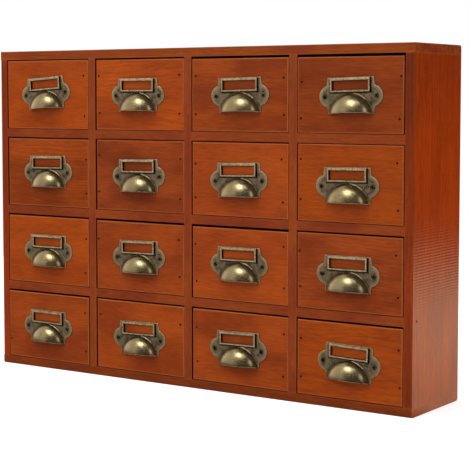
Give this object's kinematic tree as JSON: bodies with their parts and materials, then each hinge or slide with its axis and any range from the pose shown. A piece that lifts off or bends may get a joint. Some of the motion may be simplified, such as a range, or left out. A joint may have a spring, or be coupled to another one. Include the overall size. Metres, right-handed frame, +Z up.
{
  "type": "spice drawer cabinet",
  "caption": "Tabletop cabinet of small wooden drawers in a grid, each with a brass cup pull and label frame, for spices and other small things.",
  "frame": {"origin": "centre of the case's underside, on the surface that it stands on", "axes": "+X along the front to the right as one faces the drawers, +Y from the drawer fronts to the back, +Z up"},
  "size_m": [0.5, 0.1071, 0.34],
  "materials": {
    "case_wood": "red-brown stained softwood, satin lacquer",
    "drawer_front_wood": "orange-brown stained softwood, satin lacquer",
    "drawer_box_wood": "plain unfinished softwood",
    "back_panel_ply": "thin stained plywood",
    "antique_brass": "stamped brass, darkened, edges and cup rubbed bright"
  },
  "bodies": {
    "case": {"top_board": "case_wood", "bottom_board": "case_wood", "left_side": "case_wood", "right_side": "case_wood", "divider_left": "case_wood", "divider_centre": "case_wood", "divider_right": "case_wood", "shelves_upper": "case_wood", "shelves_middle": "case_wood", "shelves_lower": "case_wood", "back_panel": "back_panel_ply"},
    "drawer_r1_c1": {"drawer_r1_c1_front": "drawer_front_wood", "drawer_r1_c1_box": "drawer_box_wood", "drawer_r1_c1_pull": "antique_brass"},
    "drawer_r1_c2": {"drawer_r1_c2_front": "drawer_front_wood", "drawer_r1_c2_box": "drawer_box_wood", "drawer_r1_c2_pull": "antique_brass"},
    "drawer_r1_c3": {"drawer_r1_c3_front": "drawer_front_wood", "drawer_r1_c3_box": "drawer_box_wood", "drawer_r1_c3_pull": "antique_brass"},
    "drawer_r1_c4": {"drawer_r1_c4_front": "drawer_front_wood", "drawer_r1_c4_box": "drawer_box_wood", "drawer_r1_c4_pull": "antique_brass"},
    "drawer_r2_c1": {"drawer_r2_c1_front": "drawer_front_wood", "drawer_r2_c1_box": "drawer_box_wood", "drawer_r2_c1_pull": "antique_brass"},
    "drawer_r2_c2": {"drawer_r2_c2_front": "drawer_front_wood", "drawer_r2_c2_box": "drawer_box_wood", "drawer_r2_c2_pull": "antique_brass"},
    "drawer_r2_c3": {"drawer_r2_c3_front": "drawer_front_wood", "drawer_r2_c3_box": "drawer_box_wood", "drawer_r2_c3_pull": "antique_brass"},
    "drawer_r2_c4": {"drawer_r2_c4_front": "drawer_front_wood", "drawer_r2_c4_box": "drawer_box_wood", "drawer_r2_c4_pull": "antique_brass"},
    "drawer_r3_c1": {"drawer_r3_c1_front": "drawer_front_wood", "drawer_r3_c1_box": "drawer_box_wood", "drawer_r3_c1_pull": "antique_brass"},
    "drawer_r3_c2": {"drawer_r3_c2_front": "drawer_front_wood", "drawer_r3_c2_box": "drawer_box_wood", "drawer_r3_c2_pull": "antique_brass"},
    "drawer_r3_c3": {"drawer_r3_c3_front": "drawer_front_wood", "drawer_r3_c3_box": "drawer_box_wood", "drawer_r3_c3_pull": "antique_brass"},
    "drawer_r3_c4": {"drawer_r3_c4_front": "drawer_front_wood", "drawer_r3_c4_box": "drawer_box_wood", "drawer_r3_c4_pull": "antique_brass"},
    "drawer_r4_c1": {"drawer_r4_c1_front": "drawer_front_wood", "drawer_r4_c1_box": "drawer_box_wood", "drawer_r4_c1_pull": "antique_brass"},
    "drawer_r4_c2": {"drawer_r4_c2_front": "drawer_front_wood", "drawer_r4_c2_box": "drawer_box_wood", "drawer_r4_c2_pull": "antique_brass"},
    "drawer_r4_c3": {"drawer_r4_c3_front": "drawer_front_wood", "drawer_r4_c3_box": "drawer_box_wood", "drawer_r4_c3_pull": "antique_brass"},
    "drawer_r4_c4": {"drawer_r4_c4_front": "drawer_front_wood", "drawer_r4_c4_box": "drawer_box_wood", "drawer_r4_c4_pull": "antique_brass"}
  },
  "joints": [
    {"name": "drawer_r1_c1_slide", "type": "slide", "parent": "case", "child": "drawer_r1_c1", "axis": [0, -1, 0], "range_m": [0, 0.07]},
    {"name": "drawer_r1_c2_slide", "type": "slide", "parent": "case", "child": "drawer_r1_c2", "axis": [0, -1, 0], "range_m": [0, 0.07]},
    {"name": "drawer_r1_c3_slide", "type": "slide", "parent": "case", "child": "drawer_r1_c3", "axis": [0, -1, 0], "range_m": [0, 0.07]},
    {"name": "drawer_r1_c4_slide", "type": "slide", "parent": "case", "child": "drawer_r1_c4", "axis": [0, -1, 0], "range_m": [0, 0.07]},
    {"name": "drawer_r2_c1_slide", "type": "slide", "parent": "case", "child": "drawer_r2_c1", "axis": [0, -1, 0], "range_m": [0, 0.07]},
    {"name": "drawer_r2_c2_slide", "type": "slide", "parent": "case", "child": "drawer_r2_c2", "axis": [0, -1, 0], "range_m": [0, 0.07]},
    {"name": "drawer_r2_c3_slide", "type": "slide", "parent": "case", "child": "drawer_r2_c3", "axis": [0, -1, 0], "range_m": [0, 0.07]},
    {"name": "drawer_r2_c4_slide", "type": "slide", "parent": "case", "child": "drawer_r2_c4", "axis": [0, -1, 0], "range_m": [0, 0.07]},
    {"name": "drawer_r3_c1_slide", "type": "slide", "parent": "case", "child": "drawer_r3_c1", "axis": [0, -1, 0], "range_m": [0, 0.07]},
    {"name": "drawer_r3_c2_slide", "type": "slide", "parent": "case", "child": "drawer_r3_c2", "axis": [0, -1, 0], "range_m": [0, 0.07]},
    {"name": "drawer_r3_c3_slide", "type": "slide", "parent": "case", "child": "drawer_r3_c3", "axis": [0, -1, 0], "range_m": [0, 0.07]},
    {"name": "drawer_r3_c4_slide", "type": "slide", "parent": "case", "child": "drawer_r3_c4", "axis": [0, -1, 0], "range_m": [0, 0.07]},
    {"name": "drawer_r4_c1_slide", "type": "slide", "parent": "case", "child": "drawer_r4_c1", "axis": [0, -1, 0], "range_m": [0, 0.07]},
    {"name": "drawer_r4_c2_slide", "type": "slide", "parent": "case", "child": "drawer_r4_c2", "axis": [0, -1, 0], "range_m": [0, 0.07]},
    {"name": "drawer_r4_c3_slide", "type": "slide", "parent": "case", "child": "drawer_r4_c3", "axis": [0, -1, 0], "range_m": [0, 0.07]},
    {"name": "drawer_r4_c4_slide", "type": "slide", "parent": "case", "child": "drawer_r4_c4", "axis": [0, -1, 0], "range_m": [0, 0.07]}
  ]
}
